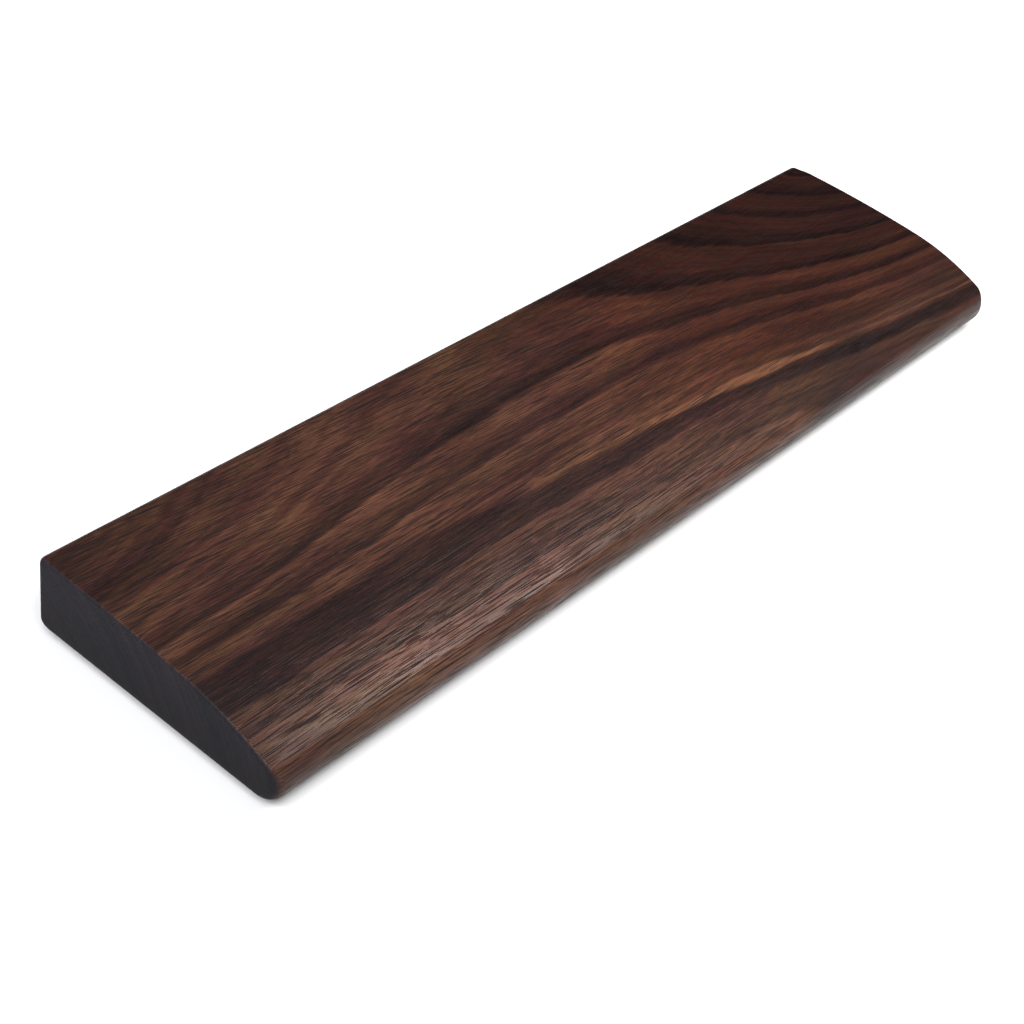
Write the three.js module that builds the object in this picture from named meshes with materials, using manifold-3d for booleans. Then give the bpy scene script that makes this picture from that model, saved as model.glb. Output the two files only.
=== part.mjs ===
// A wooden wrist rest for a compact keyboard: one solid board of dark walnut on six rubber feet.
// Millimetres, +X along the length, +Y towards the keyboard, +Z up.
// The origin is on the table, under the middle of the board.

import * as THREE from 'three';
import { mergeVertices } from 'three/addons/utils/BufferGeometryUtils.js';
import Module from 'manifold-3d';

// ---------------------------------------------------------------- driving dimensions

const LENGTH = 320;
const DEPTH = 81;
const BOARD_HEIGHT = 22.5;

// Cross-section: a level rear edge, a faint crown, a rounder front and a bull nose.
const NOSE_RADIUS = 6.7;
const NOSE_SLOPE = 24.5; // degrees, where the nose meets the front curve
const FRONT_RADIUS = 86;
const CROWN_SLOPE = 5.7; // degrees, where the front curve meets the crown
const REAR_TOP_RADIUS = 2.2;
const REAR_BOTTOM_RADIUS = 4;

// The edges around the two ends: sanded soft at the front, crisp along the top.
const END_FRONT_RADIUS = 3.5;
const END_REAR_RADIUS = 2;
const END_TOP_RADIUS = 0.8;
const END_BOTTOM_RADIUS = 3.3;
const END_STEPS = 5;
const CORNER_REACH = 7; // how near the rear edge the top radius starts to grow

// Feet: rubber discs, each stuck into a shallow recess under the board.
const FOOT_INSET = 15;
const FOOT_RADIUS = 5;
const FOOT_TOE_RADIUS = 4.6;
const FOOT_HEIGHT = 2.4;
const FOOT_ROUNDING = 0.6;
const ADHESIVE_RADIUS = 4.7;
const ADHESIVE_THICKNESS = 0.3;
const RECESS_RADIUS = 5.6;
const RECESS_DEPTH = 1.2;
const ROUND_SIDES = 32;

const FOOT_PROUD = FOOT_HEIGHT + ADHESIVE_THICKNESS - RECESS_DEPTH;

// ---------------------------------------------------------------- materials

const walnut = new THREE.MeshStandardMaterial({ color: 0x3a2a22, roughness: 0.45, metalness: 0 });
const rubber = new THREE.MeshStandardMaterial({ color: 0x141414, roughness: 0.85, metalness: 0 });
const adhesive = new THREE.MeshStandardMaterial({ color: 0xb9b4a8, roughness: 0.7, metalness: 0 });

// ---------------------------------------------------------------- cross-section of the board

// A point of the outline with its outward normal. The normal's angle is measured from +Z
// towards -Y, so it is also the slope of the surface there.
function outlinePoint(y, z, angle) {
  return { y, z, ny: -Math.sin(angle), nz: Math.cos(angle) };
}

// Points on an arc about (y, z), as its normal turns from one angle to another.
function arc(y, z, radius, from, to, steps) {
  const points = [];
  for (let i = 0; i <= steps; i++) {
    const angle = from + ((to - from) * i) / steps;
    points.push(outlinePoint(y - radius * Math.sin(angle), z + radius * Math.cos(angle), angle));
  }
  return points;
}

// The outline runs from the rear face over the top to the front, and back along the underside.
// Each arc's centre follows from the one before it, so that they meet without a corner.
function boardOutline() {
  const noseSlope = THREE.MathUtils.degToRad(NOSE_SLOPE);
  const crownSlope = THREE.MathUtils.degToRad(CROWN_SLOPE);
  const rear = DEPTH / 2;
  const noseY = NOSE_RADIUS - DEPTH / 2;
  const noseToFront = FRONT_RADIUS - NOSE_RADIUS;
  const frontY = noseY + noseToFront * Math.sin(noseSlope);
  const frontZ = NOSE_RADIUS - noseToFront * Math.cos(noseSlope);
  const frontTop = frontZ + FRONT_RADIUS * Math.cos(crownSlope);
  const crownRadius = (BOARD_HEIGHT - frontTop) / (1 - Math.cos(crownSlope));
  const crownY = frontY + (crownRadius - FRONT_RADIUS) * Math.sin(crownSlope);
  const rearTopY = rear - REAR_TOP_RADIUS;
  const rearTopZ = BOARD_HEIGHT - REAR_TOP_RADIUS;
  return [
    ...arc(rearTopY, rearTopZ, REAR_TOP_RADIUS, -Math.PI / 2, 0, 5),
    ...arc(crownY, BOARD_HEIGHT - crownRadius, crownRadius, 0, crownSlope, 12),
    ...arc(frontY, frontZ, FRONT_RADIUS, crownSlope, noseSlope, 10).slice(1),
    ...arc(noseY, NOSE_RADIUS, NOSE_RADIUS, noseSlope, Math.PI, 14).slice(1),
    ...arc(rear - REAR_BOTTOM_RADIUS, REAR_BOTTOM_RADIUS, REAR_BOTTOM_RADIUS, Math.PI, 1.5 * Math.PI, 6),
  ];
}

// The rounding of an end's top edge grows to the rear edge's radius as it nears that corner.
function endTopRadius(y) {
  const corner = THREE.MathUtils.smoothstep(y, DEPTH / 2 - CORNER_REACH, DEPTH / 2 - REAR_TOP_RADIUS);
  return THREE.MathUtils.lerp(END_TOP_RADIUS, END_REAR_RADIUS, corner);
}

// How far the edge around an end is rounded at a point of the outline: it eases from the
// front or rear radius to the top's or the underside's as the surface turns.
function endRadius(point) {
  const side = point.ny < 0 ? END_FRONT_RADIUS : END_REAR_RADIUS;
  const upward = Math.max(point.nz, 0);
  const downward = Math.max(-point.nz, 0);
  return point.ny ** 2 * side + upward ** 2 * endTopRadius(point.y) + downward ** 2 * END_BOTTOM_RADIUS;
}

// ---------------------------------------------------------------- the board

// One ring of the board's skin: the outline drawn in by the end's rounding. At turn 0 the
// rounding begins on the long faces, and at a quarter turn it meets the flat end.
function endRing(outline, side, turn) {
  return outline.map((point) => {
    const radius = endRadius(point);
    const inset = radius * (1 - Math.cos(turn));
    const x = side * (LENGTH / 2 - radius * (1 - Math.sin(turn)));
    return [x, point.y - point.ny * inset, point.z - point.nz * inset];
  });
}

function boardSkin() {
  const outline = boardOutline();
  const rings = [];
  for (let i = END_STEPS; i >= 0; i--) rings.push(endRing(outline, -1, (i / END_STEPS) * (Math.PI / 2)));
  for (let i = 0; i <= END_STEPS; i++) rings.push(endRing(outline, 1, (i / END_STEPS) * (Math.PI / 2)));

  const count = outline.length;
  const triangles = [];
  for (let ring = 0; ring + 1 < rings.length; ring++) {
    for (let i = 0; i < count; i++) {
      const a = ring * count + i;
      const b = ring * count + ((i + 1) % count);
      triangles.push(a, b, a + count, b, b + count, a + count);
    }
  }
  addCap(triangles, rings[0], 0, false);
  addCap(triangles, rings[rings.length - 1], (rings.length - 1) * count, true);

  const geometry = new THREE.BufferGeometry();
  geometry.setAttribute('position', new THREE.Float32BufferAttribute(rings.flat(2), 3));
  geometry.setIndex(triangles);
  return geometry;
}

// Closes one end with a flat face over its ring.
function addCap(triangles, ring, offset, atRight) {
  const contour = ring.map(([, y, z]) => new THREE.Vector2(y, z));
  for (const [a, b, c] of THREE.ShapeUtils.triangulateShape(contour, [])) {
    const corners = atRight ? [a, b, c] : [a, c, b];
    triangles.push(...corners.map((corner) => corner + offset));
  }
}

// ---------------------------------------------------------------- joining and cutting

const wasm = await Module();
wasm.setup();

function toSolid(geometry) {
  const bare = geometry.clone();
  bare.deleteAttribute('normal');
  bare.deleteAttribute('uv');
  const merged = mergeVertices(bare);
  return new wasm.Manifold(
    new wasm.Mesh({
      numProp: 3,
      vertProperties: new Float32Array(merged.attributes.position.array),
      triVerts: new Uint32Array(merged.index.array),
    }),
  );
}

function toGeometry(solid) {
  const mesh = solid.getMesh();
  const geometry = new THREE.BufferGeometry();
  geometry.setAttribute('position', new THREE.BufferAttribute(new Float32Array(mesh.vertProperties), 3));
  geometry.setIndex(new THREE.BufferAttribute(new Uint32Array(mesh.triVerts), 1));
  geometry.computeVertexNormals();
  return geometry;
}

// ---------------------------------------------------------------- feet

// The centres of the six feet: one under each corner, and two under the middle.
function footCentres() {
  const reach = LENGTH / 2 - FOOT_INSET;
  const spread = DEPTH / 2 - FOOT_INSET;
  const centres = [];
  for (const x of [-reach, 0, reach]) {
    for (const y of [-spread, spread]) centres.push([x, y]);
  }
  return centres;
}

// A disc turned about the vertical axis, from a half-section of [radius, height] points.
function turned(section) {
  const points = section.map(([radius, height]) => new THREE.Vector2(radius, height));
  return new THREE.LatheGeometry(points, ROUND_SIDES).rotateX(Math.PI / 2);
}

// A foot tapers a little towards the table, and its lower edge is rounded over.
function footGeometry() {
  const section = [[0, 0]];
  const roundingSteps = 4;
  for (let i = 0; i <= roundingSteps; i++) {
    const angle = (i / roundingSteps) * (Math.PI / 2);
    const radius = FOOT_TOE_RADIUS - FOOT_ROUNDING * (1 - Math.sin(angle));
    section.push([radius, FOOT_ROUNDING * (1 - Math.cos(angle))]);
  }
  section.push([FOOT_RADIUS, FOOT_HEIGHT], [0, FOOT_HEIGHT]);
  return turned(section);
}

function adhesiveGeometry() {
  return turned([
    [0, 0],
    [ADHESIVE_RADIUS, 0],
    [ADHESIVE_RADIUS, ADHESIVE_THICKNESS],
    [0, ADHESIVE_THICKNESS],
  ]);
}

// ---------------------------------------------------------------- assembly

const group = new THREE.Group();

function add(name, geometry, material, x, y, z) {
  const mesh = new THREE.Mesh(geometry, material.clone());
  mesh.name = name;
  mesh.position.set(x, y, z);
  group.add(mesh);
}

function boardGeometry() {
  // The cutter reaches below the underside, so that each recess opens cleanly.
  const cutterHeight = 2 * RECESS_DEPTH;
  const cutter = toSolid(new THREE.CylinderGeometry(RECESS_RADIUS, RECESS_RADIUS, cutterHeight, ROUND_SIDES));
  const upright = cutter.rotate([90, 0, 0]);
  let board = toSolid(boardSkin());
  for (const [x, y] of footCentres()) board = board.subtract(upright.translate([x, y, 0]));
  return toGeometry(board);
}

add('wood_body', boardGeometry(), walnut, 0, 0, FOOT_PROUD);

footCentres().forEach(([x, y], index) => {
  add(`rubber_foot_${index + 1}`, footGeometry(), rubber, x, y, 0);
  add(`foot_adhesive_${index + 1}`, adhesiveGeometry(), adhesive, x, y, FOOT_HEIGHT);
});

export default group;
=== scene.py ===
"""A dark walnut wrist rest for a compact keyboard, on six rubber feet, in a plain light studio."""

import math

import bmesh
import bpy
from mathutils import Euler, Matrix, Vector


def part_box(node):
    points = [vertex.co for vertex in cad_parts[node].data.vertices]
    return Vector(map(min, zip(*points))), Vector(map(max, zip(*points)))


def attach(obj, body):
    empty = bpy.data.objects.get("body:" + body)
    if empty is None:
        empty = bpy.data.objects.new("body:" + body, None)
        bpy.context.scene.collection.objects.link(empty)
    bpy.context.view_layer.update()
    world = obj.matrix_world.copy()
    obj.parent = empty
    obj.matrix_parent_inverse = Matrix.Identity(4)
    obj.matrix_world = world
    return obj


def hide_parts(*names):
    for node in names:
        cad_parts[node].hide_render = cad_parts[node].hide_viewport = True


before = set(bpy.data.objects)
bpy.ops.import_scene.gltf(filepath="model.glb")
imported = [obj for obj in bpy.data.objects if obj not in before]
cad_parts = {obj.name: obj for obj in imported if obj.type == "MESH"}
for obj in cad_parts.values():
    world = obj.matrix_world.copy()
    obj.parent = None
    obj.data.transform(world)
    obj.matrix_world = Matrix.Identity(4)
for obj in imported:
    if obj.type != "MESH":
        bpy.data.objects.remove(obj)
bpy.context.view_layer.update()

MM = 0.001
QUARTER_TURN = math.pi / 2

BOARD_LOW, BOARD_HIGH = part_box("wood_body")
LENGTH = BOARD_HIGH.x - BOARD_LOW.x
DEPTH = BOARD_HIGH.y - BOARD_LOW.y
HEIGHT = BOARD_HIGH.z - BOARD_LOW.z
UNDERSIDE = BOARD_LOW.z

# The board's cross-section and its rounded ends, as in the CAD model.
NOSE_RADIUS = 6.7 * MM
NOSE_SLOPE = math.radians(24.5)
FRONT_RADIUS = 86 * MM
CROWN_SLOPE = math.radians(5.7)
REAR_TOP_RADIUS = 2.2 * MM
REAR_BOTTOM_RADIUS = 4 * MM
END_FRONT_RADIUS = 3.5 * MM
END_REAR_RADIUS = 2 * MM
END_TOP_RADIUS = 0.8 * MM
END_BOTTOM_RADIUS = 3.3 * MM
CORNER_REACH = 7 * MM

RECESS_RADIUS = 5.6 * MM
RECESS_DEPTH = 1.2 * MM
RECESS_CHAMFER = 0.25 * MM

FOOT_COUNT = 6
FOOT_SIDES = 64

# ------------------------------------------------------------------ camera

CAMERA_PLACE = Vector((-0.37165, -0.23278, 0.31795))
CAMERA_AIM = Vector((-0.04588, -0.01088, 0.0100))
CAMERA_ROLL = math.radians(10.08)
CAMERA_LENS_MM = 66.83


def make_camera():
    data = bpy.data.cameras.new("camera")
    data.lens = CAMERA_LENS_MM
    data.sensor_width = 36
    data.clip_start = 0.01
    camera = bpy.data.objects.new("camera", data)
    camera.location = CAMERA_PLACE
    level = (CAMERA_AIM - CAMERA_PLACE).to_track_quat("-Z", "Y")
    camera.rotation_euler = (level.to_matrix() @ Euler((0, 0, CAMERA_ROLL)).to_matrix()).to_euler()
    bpy.context.scene.collection.objects.link(camera)
    bpy.context.scene.camera = camera


# ------------------------------------------------------------------ node helpers


class Shader:
    """A Principled material and short names for the nodes that drive it."""

    def __init__(self, name):
        self.material = bpy.data.materials.new(name)
        self.material.use_nodes = True
        self.tree = self.material.node_tree
        self.surface = self.tree.nodes["Principled BSDF"]

    def feed(self, socket, value):
        if isinstance(value, bpy.types.NodeSocket):
            self.tree.links.new(value, socket)
        else:
            socket.default_value = value

    def node(self, kind, inputs, **settings):
        made = self.tree.nodes.new(kind)
        for name, value in settings.items():
            setattr(made, name, value)
        for key, value in inputs.items():
            self.feed(made.inputs[key], value)
        return made

    def set(self, **inputs):
        for name, value in inputs.items():
            self.feed(self.surface.inputs[name.replace("_", " ")], value)

    def math(self, operation, a, b=0.0, c=0.0):
        return self.node("ShaderNodeMath", {0: a, 1: b, 2: c}, operation=operation).outputs[0]

    def add(self, a, b):
        return self.math("ADD", a, b)

    def subtract(self, a, b):
        return self.math("SUBTRACT", a, b)

    def multiply(self, a, b):
        return self.math("MULTIPLY", a, b)

    def polynomial(self, x, *coefficients):
        """coefficients[0] + coefficients[1] * x + coefficients[2] * x * x + ..."""
        total = coefficients[-1]
        for coefficient in reversed(coefficients[:-1]):
            total = self.math("MULTIPLY_ADD", x, total, coefficient)
        return total

    def remap(self, value, low, high, to_low=0.0, to_high=1.0, smooth=True):
        kind = "SMOOTHSTEP" if smooth else "LINEAR"
        inputs = {"Value": value, "From Min": low, "From Max": high, "To Min": to_low, "To Max": to_high}
        return self.node("ShaderNodeMapRange", inputs, interpolation_type=kind).outputs["Result"]

    def bell(self, x, middle, width):
        """A smooth bump: 1 at the middle, falling to nothing past the width."""
        off = self.multiply(self.subtract(x, middle), 1 / width)
        return self.math("EXPONENT", self.multiply(self.multiply(off, off), -1.0))

    def blend(self, factor, a, b):
        """The number a where the factor is 0, b where it is 1."""
        return self.math("MULTIPLY_ADD", factor, self.subtract(b, a), a)

    def combine(self, x, y, z):
        return self.node("ShaderNodeCombineXYZ", {0: x, 1: y, 2: z}).outputs[0]

    def separate(self, vector):
        return self.node("ShaderNodeSeparateXYZ", {0: vector}).outputs

    def scaled(self, vector, factors):
        made = self.node("ShaderNodeVectorMath", {0: vector, 1: factors}, operation="MULTIPLY")
        return made.outputs[0]

    def shifted(self, vector, offset):
        return self.node("ShaderNodeVectorMath", {0: vector, 1: offset}, operation="ADD").outputs[0]

    def noise(self, vector, scale=1.0, detail=2.0, roughness=0.5, output="Fac"):
        inputs = {"Vector": vector, "Scale": scale, "Detail": detail, "Roughness": roughness}
        return self.node("ShaderNodeTexNoise", inputs).outputs[output]

    def cell_distance(self, vector):
        """Distance to the nearest of many points strewn about one unit apart."""
        inputs = {"Vector": vector, "Scale": 1.0, "Randomness": 1.0}
        return self.node("ShaderNodeTexVoronoi", inputs).outputs["Distance"]

    def ramp(self, value, stops, interpolation="LINEAR"):
        made = self.node("ShaderNodeValToRGB", {"Fac": value})
        made.color_ramp.interpolation = interpolation
        elements = made.color_ramp.elements
        while len(elements) < len(stops):
            elements.new(1.0)
        for element, (position, colour) in zip(elements, stops):
            element.position = position
            element.color = (*colour, 1) if isinstance(colour, tuple) else (colour, colour, colour, 1)
        return made.outputs["Color"]

    def mix(self, factor, a, b):
        """The colour a where the factor is 0, b where it is 1."""
        made = self.tree.nodes.new("ShaderNodeMix")
        made.data_type = "RGBA"
        self.feed(made.inputs["Factor"], factor)
        for name, value in (("A", a), ("B", b)):
            socket = next(s for s in made.inputs if s.name == name and s.type == "RGBA")
            self.feed(socket, (*value, 1) if isinstance(value, tuple) else value)
        return next(s for s in made.outputs if s.type == "RGBA")

    def tint(self, colour, factor):
        """colour times one number."""
        return self.node("ShaderNodeVectorMath", {0: colour, "Scale": factor}, operation="SCALE").outputs[0]

    def bump(self, height, distance, strength):
        inputs = {"Height": height, "Distance": distance, "Strength": strength}
        return self.node("ShaderNodeBump", inputs).outputs["Normal"]

    def object_mm(self):
        """The place in the object, in millimetres."""
        place = self.node("ShaderNodeTexCoord", {}).outputs["Object"]
        return self.scaled(place, (1 / MM, 1 / MM, 1 / MM))


# ------------------------------------------------------------------ walnut

# The pith is the line that the growth rings surround. Its y and z in mm are polynomials of
# x / PITH_SPAN, given by their coefficients.
PITH_SPAN = 160.0
PITH_Y = (43.0, -2.5, 14.0)
PITH_Z = (-48.5, 0.0, 31.0, 9.0)

# Growth rings: the distance from the pith in mm at which each one ends in dark late wood, how
# light the wood is there, and how light the next ring starts. 0 is the darkest, 1 the lightest.
RINGS = [
    (25.0, 0.18, 0.42),
    (33.0, 0.15, 0.40),
    (40.0, 0.12, 0.38),
    (47.7, 0.04, 0.36),
    (55.2, 0.04, 0.36),
    (63.4, 0.02, 0.42),
    (71.5, 0.08, 0.66),
    (77.7, 0.14, 0.72),
    (82.8, 0.26, 0.70),
    (88.5, 0.48, 0.70),
    (94.4, 0.30, 0.64),
    (99.5, 0.44, 0.72),
]
RING_RANGE = 108.0
RING_EDGE = 0.9
LATE_WOOD = 3.0
LATE_WOOD_FROM = 50.0
EARLY_WOOD_FADE = 0.85
HEART_EDGE = 71.5
DARK_BAND_EDGE = 94.4

# How far rings and fibres stray from a smooth course, in mm.
WANDER = 2.5
RIPPLE = 2.0
RING_SWELL = 1.7
FIBRE_DRIFT = 10.0

# How strongly each finer pattern lightens and darkens the wood.
LINE_CONTRAST = 0.22
CLOUD_CONTRAST = 0.22
THREAD_CONTRAST = 0.24
GRAIN_CONTRAST = 0.20

# The wood's colour from the darkest tone to the lightest.
WOOD_COLOURS = [
    (0.00, (0.0100, 0.0041, 0.0039)),
    (0.22, (0.0245, 0.0096, 0.0079)),
    (0.48, (0.0460, 0.0172, 0.0117)),
    (0.74, (0.0790, 0.0312, 0.0186)),
    (1.00, (0.1270, 0.0530, 0.0292)),
]
STREAK_COLOUR = (0.128, 0.052, 0.026)
PORE_COLOUR = (0.0050, 0.0028, 0.0032)
# The end grain's dark slates, whose bluish tint is a painted reflection of cool light.
END_GRAIN_SLATE_AND_BLUE_REFLECTION = (0.0062, 0.0078, 0.0125)
PURPLISH_END_GRAIN_AND_BLUE_REFLECTION = (0.0135, 0.0104, 0.0145)

PORE_DEPTH = 0.4
RELIEF = 0.09 * MM
SHEEN = 0.18


class Walnut(Shader):
    """Walnut as a solid: a pattern follows the place in the wood, whichever face it shows on.

    Places are in mm: x from -160 at the left end to 160, y from -40.5 at the front to 40.5, z up.
    """

    def __init__(self):
        super().__init__("walnut")
        self.place = self.wandering_place()
        self.x, self.y, self.z = self.separate(self.place)
        self.fibres = self.drifting_fibres()
        self.radius = self.distance_to_pith()
        self.lines = self.noise(self.combine(self.multiply(self.x, 0.012), self.radius, 0.0), 1.3, 2.0, 0.6)
        self.threads = self.noise(self.scaled(self.fibres, (0.06, 3.0, 3.0)), detail=1.0)

        # How strongly fibres and pores show.
        self.texture = self.remap(self.x, 20.0, 110.0, 1.0, 0.5)
        self.holes = self.pores()

        # 1 on the end faces, and 1 where the surface turns under, which is darkened as painted shade.
        normal = self.separate(self.node("ShaderNodeNewGeometry", {}).outputs["Normal"])
        self.on_end = self.remap(self.math("ABSOLUTE", normal[0]), 0.30, 0.85)
        self.painted_underside_shade = self.bell(normal[2], -0.55, 0.5)

    def wandering_place(self):
        """The place in mm, pushed about slowly so that no ring or fibre runs quite straight."""
        place = self.object_mm()
        slow = self.noise(self.scaled(place, (0.014, 0.035, 0.035)), detail=1.0, output="Color")
        wander = self.scaled(self.shifted(slow, (-0.5, -0.5, -0.5)), (0.0, WANDER, WANDER))
        return self.shifted(place, wander)

    def drifting_fibres(self):
        """The place as the fibres see it: behind the front they run at a slight angle."""
        along = self.remap(self.x, -160.0, 60.0, 0.0, FIBRE_DRIFT, smooth=False)
        behind = self.remap(self.y, -25.0, 8.0)
        return self.shifted(self.place, self.combine(0.0, self.multiply(along, behind), 0.0))

    def distance_to_pith(self):
        """Distance in mm to the pith, which bows past the board and comes nearest at its right end."""
        along = self.multiply(self.x, 1 / PITH_SPAN)
        across = self.subtract(self.y, self.polynomial(along, *PITH_Y))
        up = self.subtract(self.z, self.polynomial(along, *PITH_Z))
        distance = self.math("SQRT", self.math("MULTIPLY_ADD", across, across, self.multiply(up, up)))
        ripple = self.noise(self.scaled(self.fibres, (0.03, 0.35, 0.35)))
        distance = self.add(distance, self.multiply(self.subtract(ripple, 0.5), RIPPLE))
        return self.add(distance, self.multiply(self.bell(self.x, -92.0, 50.0), RING_SWELL))

    def ring_tone(self):
        """Each ring fades slowly, darkens quickly over its late wood, and ends at a crisp edge."""
        stops = []
        early = RINGS[0][2]
        for ring, late, next_early in RINGS:
            if ring > LATE_WOOD_FROM:
                stops.append((ring - LATE_WOOD, early * EARLY_WOOD_FADE))
            stops.append((ring, late))
            stops.append((ring + RING_EDGE, next_early))
            early = next_early
        stops = [(distance / RING_RANGE, tone) for distance, tone in stops]
        return self.ramp(self.multiply(self.radius, 1 / RING_RANGE), stops, "EASE")

    def even_heart(self, tone):
        """Towards the left the heart turns an even brown, and its rings fade."""
        left = self.remap(self.x, 14.0, 44.0, 1.0, 0.0)
        rim = self.remap(self.radius, HEART_EDGE - 6.0, HEART_EDGE - 2.5)
        inside = self.remap(self.radius, HEART_EDGE - 0.5, HEART_EDGE + 1.0, 1.0, 0.0)
        even = self.multiply(self.multiply(left, rim), inside)
        tone = self.blend(even, tone, 0.62)
        pale = self.multiply(self.remap(self.x, -110.0, 60.0, 0.75, 0.0), inside)
        return self.blend(self.multiply(pale, self.subtract(1.0, even)), tone, 0.50)

    def soft_ring(self, tone):
        """At the left the late wood of the ring around the heart is never very dark."""
        left = self.remap(self.x, -70.0, -10.0, 1.0, 0.0)
        soft = self.multiply(self.multiply(left, self.bell(self.radius, 76.5, 2.2)), 0.40)
        return self.math("MAXIMUM", tone, soft)

    def dark_band(self, tone):
        """A broad dark band, which narrows from the left end to the middle."""
        start = self.remap(self.x, -110.0, -10.0, 87.0, 92.6)
        entered = self.remap(self.subtract(self.radius, start), -0.8, 1.0)
        not_left = self.remap(self.radius, DARK_BAND_EDGE, DARK_BAND_EDGE + 1.0, 1.0, 0.0)
        return self.blend(self.multiply(entered, not_left), tone, 0.17)

    def tone(self):
        """How light the wood is: its rings, with finer patterns over them."""
        tone = self.dark_band(self.soft_ring(self.even_heart(self.ring_tone())))
        clouds = self.noise(self.combine(self.multiply(self.x, 0.03), self.multiply(self.radius, 0.2), 4.0))
        grain = self.noise(self.scaled(self.fibres, (0.35, 4.5, 4.5)), detail=1.0)
        patterns = (
            (self.lines, LINE_CONTRAST),
            (clouds, CLOUD_CONTRAST),
            (self.threads, self.multiply(self.texture, THREAD_CONTRAST)),
            (grain, self.multiply(self.texture, GRAIN_CONTRAST)),
        )
        for pattern, amount in patterns:
            contrast = self.remap(pattern, 0.28, 0.72, -0.5, 0.5)
            tone = self.add(tone, self.multiply(contrast, amount))
        return tone

    def patchy(self, colour):
        """Golden and purplish patches."""
        place = self.combine(self.multiply(self.x, 0.025), self.multiply(self.radius, 0.3), 9.0)
        golden = self.scaled(colour, (0.96, 1.08, 0.98))
        purple = self.scaled(colour, (0.98, 0.95, 1.08))
        return self.mix(self.remap(self.noise(place), 0.35, 0.65), purple, golden)

    def redder_heart(self, colour):
        """Redder towards the heart at the right, though not along the nose."""
        right = self.remap(self.x, -30.0, 70.0)
        behind_nose = self.remap(self.y, -34.0, -14.0)
        red = self.scaled(colour, (1.05, 0.77, 0.70))
        return self.mix(self.multiply(right, behind_nose), colour, red)

    def heart_and_painted_shade(self):
        """Darker towards the heart at the right, partly the heart's own colour and partly painted shade;
        painted shade at the left end; darker along the middle of the rear.
        """
        right = self.remap(self.x, 0.0, 90.0, 1.0, 0.56)
        painted_left_end_shade = self.remap(self.x, -165.0, -100.0, 0.72, 1.0)
        middle = self.bell(self.x, 15.0, 60.0)
        rear = self.remap(self.y, 12.0, 34.0, 0.0, 0.38)
        return self.multiply(self.multiply(right, painted_left_end_shade), self.subtract(1.0, self.multiply(middle, rear)))

    def pale_streak(self):
        """Near 1 along the thin streak of pale wood beside the dark band, which swells and thins."""
        centre = self.math("MULTIPLY_ADD", self.bell(self.x, 36.0, 34.0), 0.9, 91.4)
        half_width = self.add(self.multiply(self.bell(self.x, 38.0, 22.0), 0.42), 0.26)
        gap = self.math("ABSOLUTE", self.subtract(self.radius, centre))
        core = self.remap(self.math("DIVIDE", gap, half_width), 0.5, 1.5, 1.0, 0.0)
        present = self.remap(self.x, -50.0, -10.0)
        pinch = self.subtract(1.0, self.multiply(self.bell(self.x, 91.0, 9.0), 0.8))
        faint = self.remap(self.x, 70.0, 105.0, 1.0, 0.4)
        streak = self.multiply(self.multiply(core, present), self.multiply(pinch, faint))
        return self.multiply(streak, self.remap(self.threads, 0.2, 0.6, 0.6, 0.95))

    def vessels(self, along, across, core, edge):
        """1 inside slender vessels about 1 / along mm long, set about 1 / across mm apart."""
        distance = self.cell_distance(self.scaled(self.fibres, (along, across, across)))
        return self.remap(distance, core, edge, 1.0, 0.0)

    def pores(self):
        """Long and short vessels cut open at the surface."""
        long_vessels = self.vessels(0.036, 2.2, 0.26, 0.33)
        short_vessels = self.vessels(0.080, 3.0, 0.27, 0.36)
        holes = self.math("MAXIMUM", long_vessels, self.multiply(short_vessels, 0.85))
        return self.multiply(holes, self.texture)

    def end_grain_and_painted_light(self, colour):
        """End grain drinks more oil, so it is dark, with faint purplish rings; its bluish slate tint is a
        painted reflection of cool light, and it is painted lighter towards the top.
        """
        slate_and_blue_reflection = self.mix(self.remap(self.lines, 0.44, 0.60), END_GRAIN_SLATE_AND_BLUE_REFLECTION, PURPLISH_END_GRAIN_AND_BLUE_REFLECTION)
        soaked_and_painted_light = self.mix(0.75, self.tint(colour, 0.30), slate_and_blue_reflection)
        # Painted light: the end face is made lighter towards the top and darker towards the bottom.
        return self.tint(soaked_and_painted_light, self.remap(self.z, 2.0, 24.0, 0.75, 1.35))

    def colour(self):
        colour = self.ramp(self.tone(), WOOD_COLOURS)
        colour = self.redder_heart(self.patchy(colour))
        # Painted shade: the left end and, in part, the right are darkened as if less lit.
        colour = self.tint(colour, self.heart_and_painted_shade())
        colour = self.mix(self.pale_streak(), colour, STREAK_COLOUR)
        colour = self.mix(self.multiply(self.holes, 0.92), colour, PORE_COLOUR)
        # The end faces get dark end grain with a painted bluish reflection and painted light.
        colour = self.mix(self.on_end, colour, self.end_grain_and_painted_light(colour))
        # Painted shade: surfaces that turn under are darkened to half their colour.
        return self.tint(colour, self.math("MULTIPLY_ADD", self.painted_underside_shade, -0.5, 1.0))

    def roughness(self):
        """A satin oil finish, duller in the pores and dull on the ends."""
        polish = self.noise(self.scaled(self.fibres, (0.05, 0.9, 0.9)), 1.0, 3.0, 0.6)
        satin = self.remap(polish, 0.3, 0.7, 0.29, 0.40)
        satin = self.add(satin, self.multiply(self.holes, 0.35))
        return self.blend(self.on_end, satin, 0.75)

    def relief(self):
        """Raised threads and sunken pores."""
        height = self.subtract(self.threads, self.multiply(self.holes, PORE_DEPTH))
        return self.bump(height, RELIEF, 0.9)


def walnut_material():
    walnut = Walnut()
    walnut.set(Base_Color=walnut.colour(), Roughness=walnut.roughness(), Normal=walnut.relief())
    walnut.surface.inputs["Specular IOR Level"].default_value = SHEEN
    return walnut.material


# ------------------------------------------------------------------ mesh helpers


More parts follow.
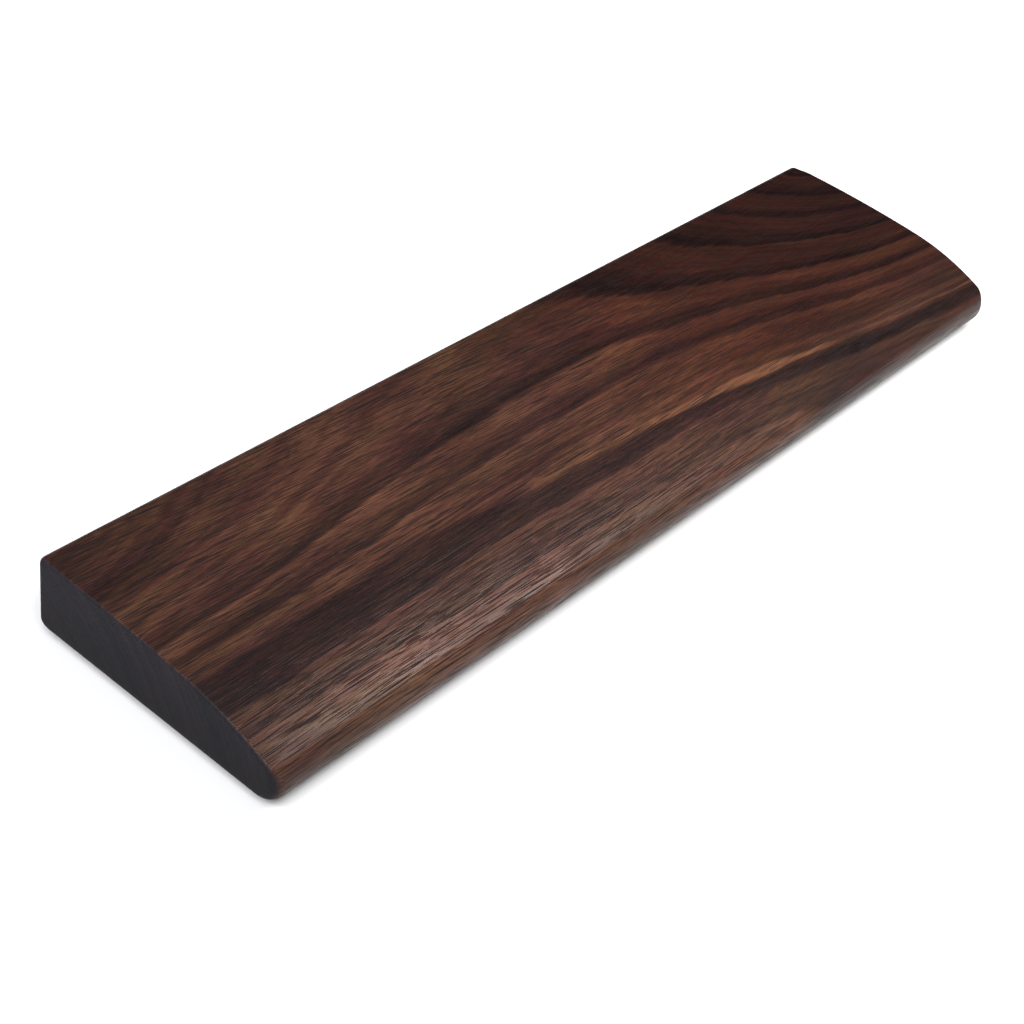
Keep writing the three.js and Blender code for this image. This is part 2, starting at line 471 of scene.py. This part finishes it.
def mesh_object(name, fill):
    """A smooth-shaded object whose mesh is made by fill(mesh)."""
    mesh = bmesh.new()
    fill(mesh)
    bmesh.ops.recalc_face_normals(mesh, faces=mesh.faces)
    data = bpy.data.meshes.new(name)
    mesh.to_mesh(data)
    mesh.free()
    for face in data.polygons:
        face.use_smooth = True
    made = bpy.data.objects.new(name, data)
    bpy.context.scene.collection.objects.link(made)
    return made


def turned(mesh, section, sides, centre):
    """A closed body turned about an upright axis, from (radius, height) points that start and end on it."""
    bottom = mesh.verts.new(centre + Vector((0, 0, section[0][1])))
    top = mesh.verts.new(centre + Vector((0, 0, section[-1][1])))
    rings = []
    for radius, height in section[1:-1]:
        ring = []
        for i in range(sides):
            angle = 2 * math.pi * i / sides
            offset = Vector((radius * math.cos(angle), radius * math.sin(angle), height))
            ring.append(mesh.verts.new(centre + offset))
        rings.append(ring)
    for low, high in zip(rings, rings[1:]):
        for i in range(sides):
            j = (i + 1) % sides
            mesh.faces.new((low[i], low[j], high[j], high[i]))
    for i in range(sides):
        j = (i + 1) % sides
        mesh.faces.new((bottom, rings[0][j], rings[0][i]))
        mesh.faces.new((top, rings[-1][i], rings[-1][j]))


def finish_piece(made, material, replaced):
    """Gives a piece its material, attaches it to the root body, and hides the CAD solid it stands for."""
    made.data.materials.clear()
    made.data.materials.append(material)
    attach(made, "root")
    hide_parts(replaced)


# ------------------------------------------------------------------ the board


def outline_point(y, z, angle):
    """A point and its outward normal, which is turned by the angle from +Z towards -Y."""
    return Vector((y, z)), Vector((-math.sin(angle), math.cos(angle)))


def arc(y, z, radius, start, end, steps):
    points = []
    for i in range(steps + 1):
        angle = start + (end - start) * i / steps
        points.append(outline_point(y - radius * math.sin(angle), z + radius * math.cos(angle), angle))
    return points


def line(start, end, angle, steps):
    """Points between two places, without the ends."""
    inner = [start.lerp(end, i / steps) for i in range(1, steps)]
    return [outline_point(place.x, place.y, angle) for place in inner]


def board_outline():
    rear = DEPTH / 2
    nose_y = NOSE_RADIUS - DEPTH / 2
    nose_to_front = FRONT_RADIUS - NOSE_RADIUS
    front_y = nose_y + nose_to_front * math.sin(NOSE_SLOPE)
    front_z = NOSE_RADIUS - nose_to_front * math.cos(NOSE_SLOPE)
    front_top = front_z + FRONT_RADIUS * math.cos(CROWN_SLOPE)
    crown_radius = (HEIGHT - front_top) / (1 - math.cos(CROWN_SLOPE))
    crown_y = front_y + (crown_radius - FRONT_RADIUS) * math.sin(CROWN_SLOPE)
    rear_top = (rear - REAR_TOP_RADIUS, HEIGHT - REAR_TOP_RADIUS)
    rear_bottom = (rear - REAR_BOTTOM_RADIUS, REAR_BOTTOM_RADIUS)

    outline = arc(*rear_top, REAR_TOP_RADIUS, -QUARTER_TURN, 0, steps=8)
    outline += arc(crown_y, HEIGHT - crown_radius, crown_radius, 0, CROWN_SLOPE, steps=26)
    outline += arc(front_y, front_z, FRONT_RADIUS, CROWN_SLOPE, NOSE_SLOPE, steps=20)[1:]
    outline += arc(nose_y, NOSE_RADIUS, NOSE_RADIUS, NOSE_SLOPE, math.pi, steps=30)[1:]
    outline += line(Vector((nose_y, 0)), Vector((rear_bottom[0], 0)), math.pi, steps=28)
    outline += arc(*rear_bottom, REAR_BOTTOM_RADIUS, math.pi, 3 * QUARTER_TURN, steps=10)
    outline += line(Vector((rear, rear_bottom[1])), Vector((rear, rear_top[1])), -QUARTER_TURN, steps=8)
    return outline


def end_radius(point, normal):
    """How far the edge around an end is rounded: crisp along the top, softer everywhere else."""
    corner = min(max((point.x - DEPTH / 2 + CORNER_REACH) / (CORNER_REACH - REAR_TOP_RADIUS), 0), 1)
    eased = corner * corner * (3 - 2 * corner)
    top = END_TOP_RADIUS + (END_REAR_RADIUS - END_TOP_RADIUS) * eased
    side = END_FRONT_RADIUS if normal.x < 0 else END_REAR_RADIUS
    up = max(normal.y, 0)
    down = max(-normal.y, 0)
    return normal.x**2 * side + up**2 * top + down**2 * END_BOTTOM_RADIUS


def end_ring(outline, side, turn):
    """The outline on the left (-1) or right (1) end's rounded edge, a turn short of the end face."""
    ring = []
    for point, normal in outline:
        radius = end_radius(point, normal)
        place = point - normal * radius * (1 - math.cos(turn))
        x = side * (LENGTH / 2 - radius * (1 - math.sin(turn)))
        ring.append(Vector((x, place.x, place.y)))
    return ring


def board_rings(outline):
    end_steps = 8
    length_steps = 104
    straight = LENGTH / 2 - 6 * MM
    turns = [QUARTER_TURN * i / end_steps for i in range(end_steps + 1)]
    rings = [end_ring(outline, -1, turn) for turn in reversed(turns)]
    for i in range(length_steps + 1):
        x = -straight + 2 * straight * i / length_steps
        rings.append([Vector((x, point.x, point.y)) for point, _ in outline])
    rings += [end_ring(outline, 1, turn) for turn in turns]
    return rings


def fill_board(mesh):
    rings = board_rings(board_outline())
    lift = Vector((0, 0, UNDERSIDE))
    skin = [[mesh.verts.new(place + lift) for place in ring] for ring in rings]
    count = len(skin[0])
    for left, right in zip(skin, skin[1:]):
        for i in range(count):
            j = (i + 1) % count
            mesh.faces.new((left[i], left[j], right[j], right[i]))
    mesh.faces.new(skin[0])
    mesh.faces.new(reversed(skin[-1]))


def foot_centre(number):
    low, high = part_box(f"rubber_foot_{number}")
    return Vector(((low.x + high.x) / 2, (low.y + high.y) / 2, 0))


def fill_recesses(mesh):
    """The wood taken out for the feet: flat-bottomed, with a small chamfer at the mouth."""
    overshoot = 1 * MM
    section = [
        (0, UNDERSIDE - overshoot),
        (RECESS_RADIUS + RECESS_CHAMFER + overshoot, UNDERSIDE - overshoot),
        (RECESS_RADIUS, UNDERSIDE + RECESS_CHAMFER),
        (RECESS_RADIUS, UNDERSIDE + RECESS_DEPTH),
        (0, UNDERSIDE + RECESS_DEPTH),
    ]
    for number in range(1, FOOT_COUNT + 1):
        turned(mesh, section, FOOT_SIDES, foot_centre(number))


def cut_recesses(board):
    cutter = mesh_object("recess_cutter", fill_recesses)
    cut = board.modifiers.new("recesses", "BOOLEAN")
    cut.operation = "DIFFERENCE"
    cut.solver = "EXACT"
    cut.object = cutter
    bpy.context.view_layer.update()
    evaluated = board.evaluated_get(bpy.context.evaluated_depsgraph_get())
    mesh = bpy.data.meshes.new_from_object(evaluated)
    board.modifiers.clear()
    board.data = mesh
    bpy.data.objects.remove(cutter)


def make_board():
    board = mesh_object("walnut_board", fill_board)
    cut_recesses(board)
    board.data.set_sharp_from_angle(angle=math.radians(35))
    finish_piece(board, walnut_material(), "wood_body")


# ------------------------------------------------------------------ feet


def rubber_material():
    shader = Shader("foot_rubber")
    place = shader.object_mm()
    speckle = shader.noise(place, 3.0, 4.0, 0.6)
    colour = shader.ramp(speckle, [(0.35, (0.010, 0.010, 0.010)), (0.7, (0.022, 0.021, 0.020))])
    grain = shader.noise(place, 7.0, 3.0, 0.6)
    roughness = shader.remap(speckle, 0.3, 0.7, 0.62, 0.80)
    shader.set(Base_Color=colour, Roughness=roughness, Normal=shader.bump(grain, 0.04 * MM, 0.7))
    return shader.material


def adhesive_material():
    shader = Shader("adhesive_pad")
    place = shader.object_mm()
    mottle = shader.noise(place, 2.0, 3.0, 0.6)
    colour = shader.ramp(mottle, [(0.3, (0.40, 0.37, 0.31)), (0.7, (0.55, 0.52, 0.45))])
    roughness = shader.remap(mottle, 0.3, 0.7, 0.5, 0.7)
    shader.set(Base_Color=colour, Roughness=roughness, Normal=shader.bump(mottle, 0.03 * MM, 0.5))
    return shader.material


def foot_section(radius, height):
    """A tapered disc: rounded lower edge, small chamfer above, faintly dished underneath."""
    toe = radius - 0.4 * MM
    rounding = 0.6 * MM
    shoulder = 0.2 * MM
    dish = 0.1 * MM
    steps = 6
    section = [(0, dish), (toe * 0.45, dish), (toe * 0.62, 0.02 * MM), (toe * 0.68, 0)]
    for i in range(steps + 1):
        angle = QUARTER_TURN * i / steps
        section.append((toe - rounding * (1 - math.sin(angle)), rounding * (1 - math.cos(angle))))
    section.append((radius - 0.05 * MM, height - shoulder))
    section.append((radius - shoulder, height))
    section.append((0, height))
    return section


def pad_section(radius, low, high):
    """A flat disc with its edges just broken."""
    edge = 0.05 * MM
    return [
        (0, low),
        (radius - edge, low),
        (radius, low + edge),
        (radius, high - edge),
        (radius - edge, high),
        (0, high),
    ]


def make_foot(number, rubber):
    low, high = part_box(f"rubber_foot_{number}")
    section = foot_section((high.x - low.x) / 2, high.z)
    foot = mesh_object(
        f"moulded_foot_{number}",
        lambda mesh: turned(mesh, section, FOOT_SIDES, foot_centre(number)),
    )
    finish_piece(foot, rubber, f"rubber_foot_{number}")


def make_adhesive_pad(number, adhesive):
    low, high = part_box(f"foot_adhesive_{number}")
    section = pad_section((high.x - low.x) / 2, low.z, high.z)
    pad = mesh_object(
        f"adhesive_pad_{number}",
        lambda mesh: turned(mesh, section, FOOT_SIDES, foot_centre(number)),
    )
    finish_piece(pad, adhesive, f"foot_adhesive_{number}")


def make_feet():
    rubber = rubber_material()
    adhesive = adhesive_material()
    for number in range(1, FOOT_COUNT + 1):
        make_foot(number, rubber)
        make_adhesive_pad(number, adhesive)


# ------------------------------------------------------------------ studio

FLOOR_HALF = 30
FLOOR_GREY = 0.74


def floor_material():
    shader = Shader("floor")
    shader.set(Base_Color=(FLOOR_GREY, FLOOR_GREY, FLOOR_GREY, 1.0), Roughness=0.9)
    shader.surface.inputs["Specular IOR Level"].default_value = 0.2
    return shader.material


def fill_floor(mesh):
    bmesh.ops.create_grid(mesh, x_segments=8, y_segments=8, size=FLOOR_HALF)


def make_floor():
    floor = mesh_object("floor", fill_floor)
    floor.data.materials.append(floor_material())


def add_light(data, colour, direction, place=(0, 0, 0)):
    data.color = colour
    light = bpy.data.objects.new(data.name, data)
    light.location = place
    light.rotation_euler = Vector(direction).to_track_quat("-Z", "Y").to_euler()
    bpy.context.scene.collection.objects.link(light)


def area_light(name, place, aim, size, power, colour):
    data = bpy.data.lights.new(name, "AREA")
    data.shape = "RECTANGLE"
    data.size, data.size_y = size
    data.energy = power
    add_light(data, colour, Vector(aim) - Vector(place), place)


def make_lights():
    """A small key for the sheen along the front, a light from behind, and a broad soft fill."""
    area_light("key", (0.25, -0.25, 0.43), (0, 0, 0), size=(0.12, 0.26), power=2.3, colour=(1, 0.98, 0.95))
    area_light("rim", (-0.82, 0.54, 0.70), (-0.15, 0, 0), size=(0.25, 0.25), power=4, colour=(1, 0.98, 1))
    fill = bpy.data.lights.new("fill", "SUN")
    fill.energy = 3.7
    fill.angle = math.radians(45)
    add_light(fill, colour=(0.97, 0.98, 1), direction=(0.60, 0.38, -1.10))


def world_remap(nodes, low, high, to_low, to_high, kind):
    made = nodes.new("ShaderNodeMapRange")
    made.interpolation_type = kind
    values = {"From Min": low, "From Max": high, "To Min": to_low, "To Max": to_high}
    for name, value in values.items():
        made.inputs[name].default_value = value
    return made


def make_room():
    """The room is dark low down, light overhead and under the floor, and plain white to the camera."""
    world = bpy.data.worlds.new("studio")
    bpy.context.scene.world = world
    world.use_nodes = True
    nodes = world.node_tree.nodes
    link = world.node_tree.links.new

    place = nodes.new("ShaderNodeTexCoord")
    parts = nodes.new("ShaderNodeSeparateXYZ")
    overhead = world_remap(nodes, 0.60, 0.98, 0.06, 0.6, "SMOOTHSTEP")
    below = world_remap(nodes, -0.1, -0.3, 0.0, 0.7, "LINEAR")
    both = nodes.new("ShaderNodeMath")
    both.operation = "ADD"
    room = nodes["Background"]
    room.inputs["Color"].default_value = (0.95, 0.97, 1, 1)
    white = nodes.new("ShaderNodeBackground")
    white.inputs["Color"].default_value = (0.93, 0.94, 0.95, 1)
    seen = nodes.new("ShaderNodeLightPath")
    pick = nodes.new("ShaderNodeMixShader")

    link(place.outputs["Generated"], parts.inputs[0])
    link(parts.outputs["Z"], overhead.inputs["Value"])
    link(parts.outputs["Z"], below.inputs["Value"])
    link(overhead.outputs["Result"], both.inputs[0])
    link(below.outputs["Result"], both.inputs[1])
    link(both.outputs[0], room.inputs["Strength"])
    link(seen.outputs["Is Camera Ray"], pick.inputs["Fac"])
    link(room.outputs[0], pick.inputs[1])
    link(white.outputs[0], pick.inputs[2])
    link(pick.outputs[0], nodes["World Output"].inputs["Surface"])


make_camera()
make_board()
make_feet()
make_floor()
make_lights()
make_room()
bpy.context.scene.view_settings.view_transform = "Standard"
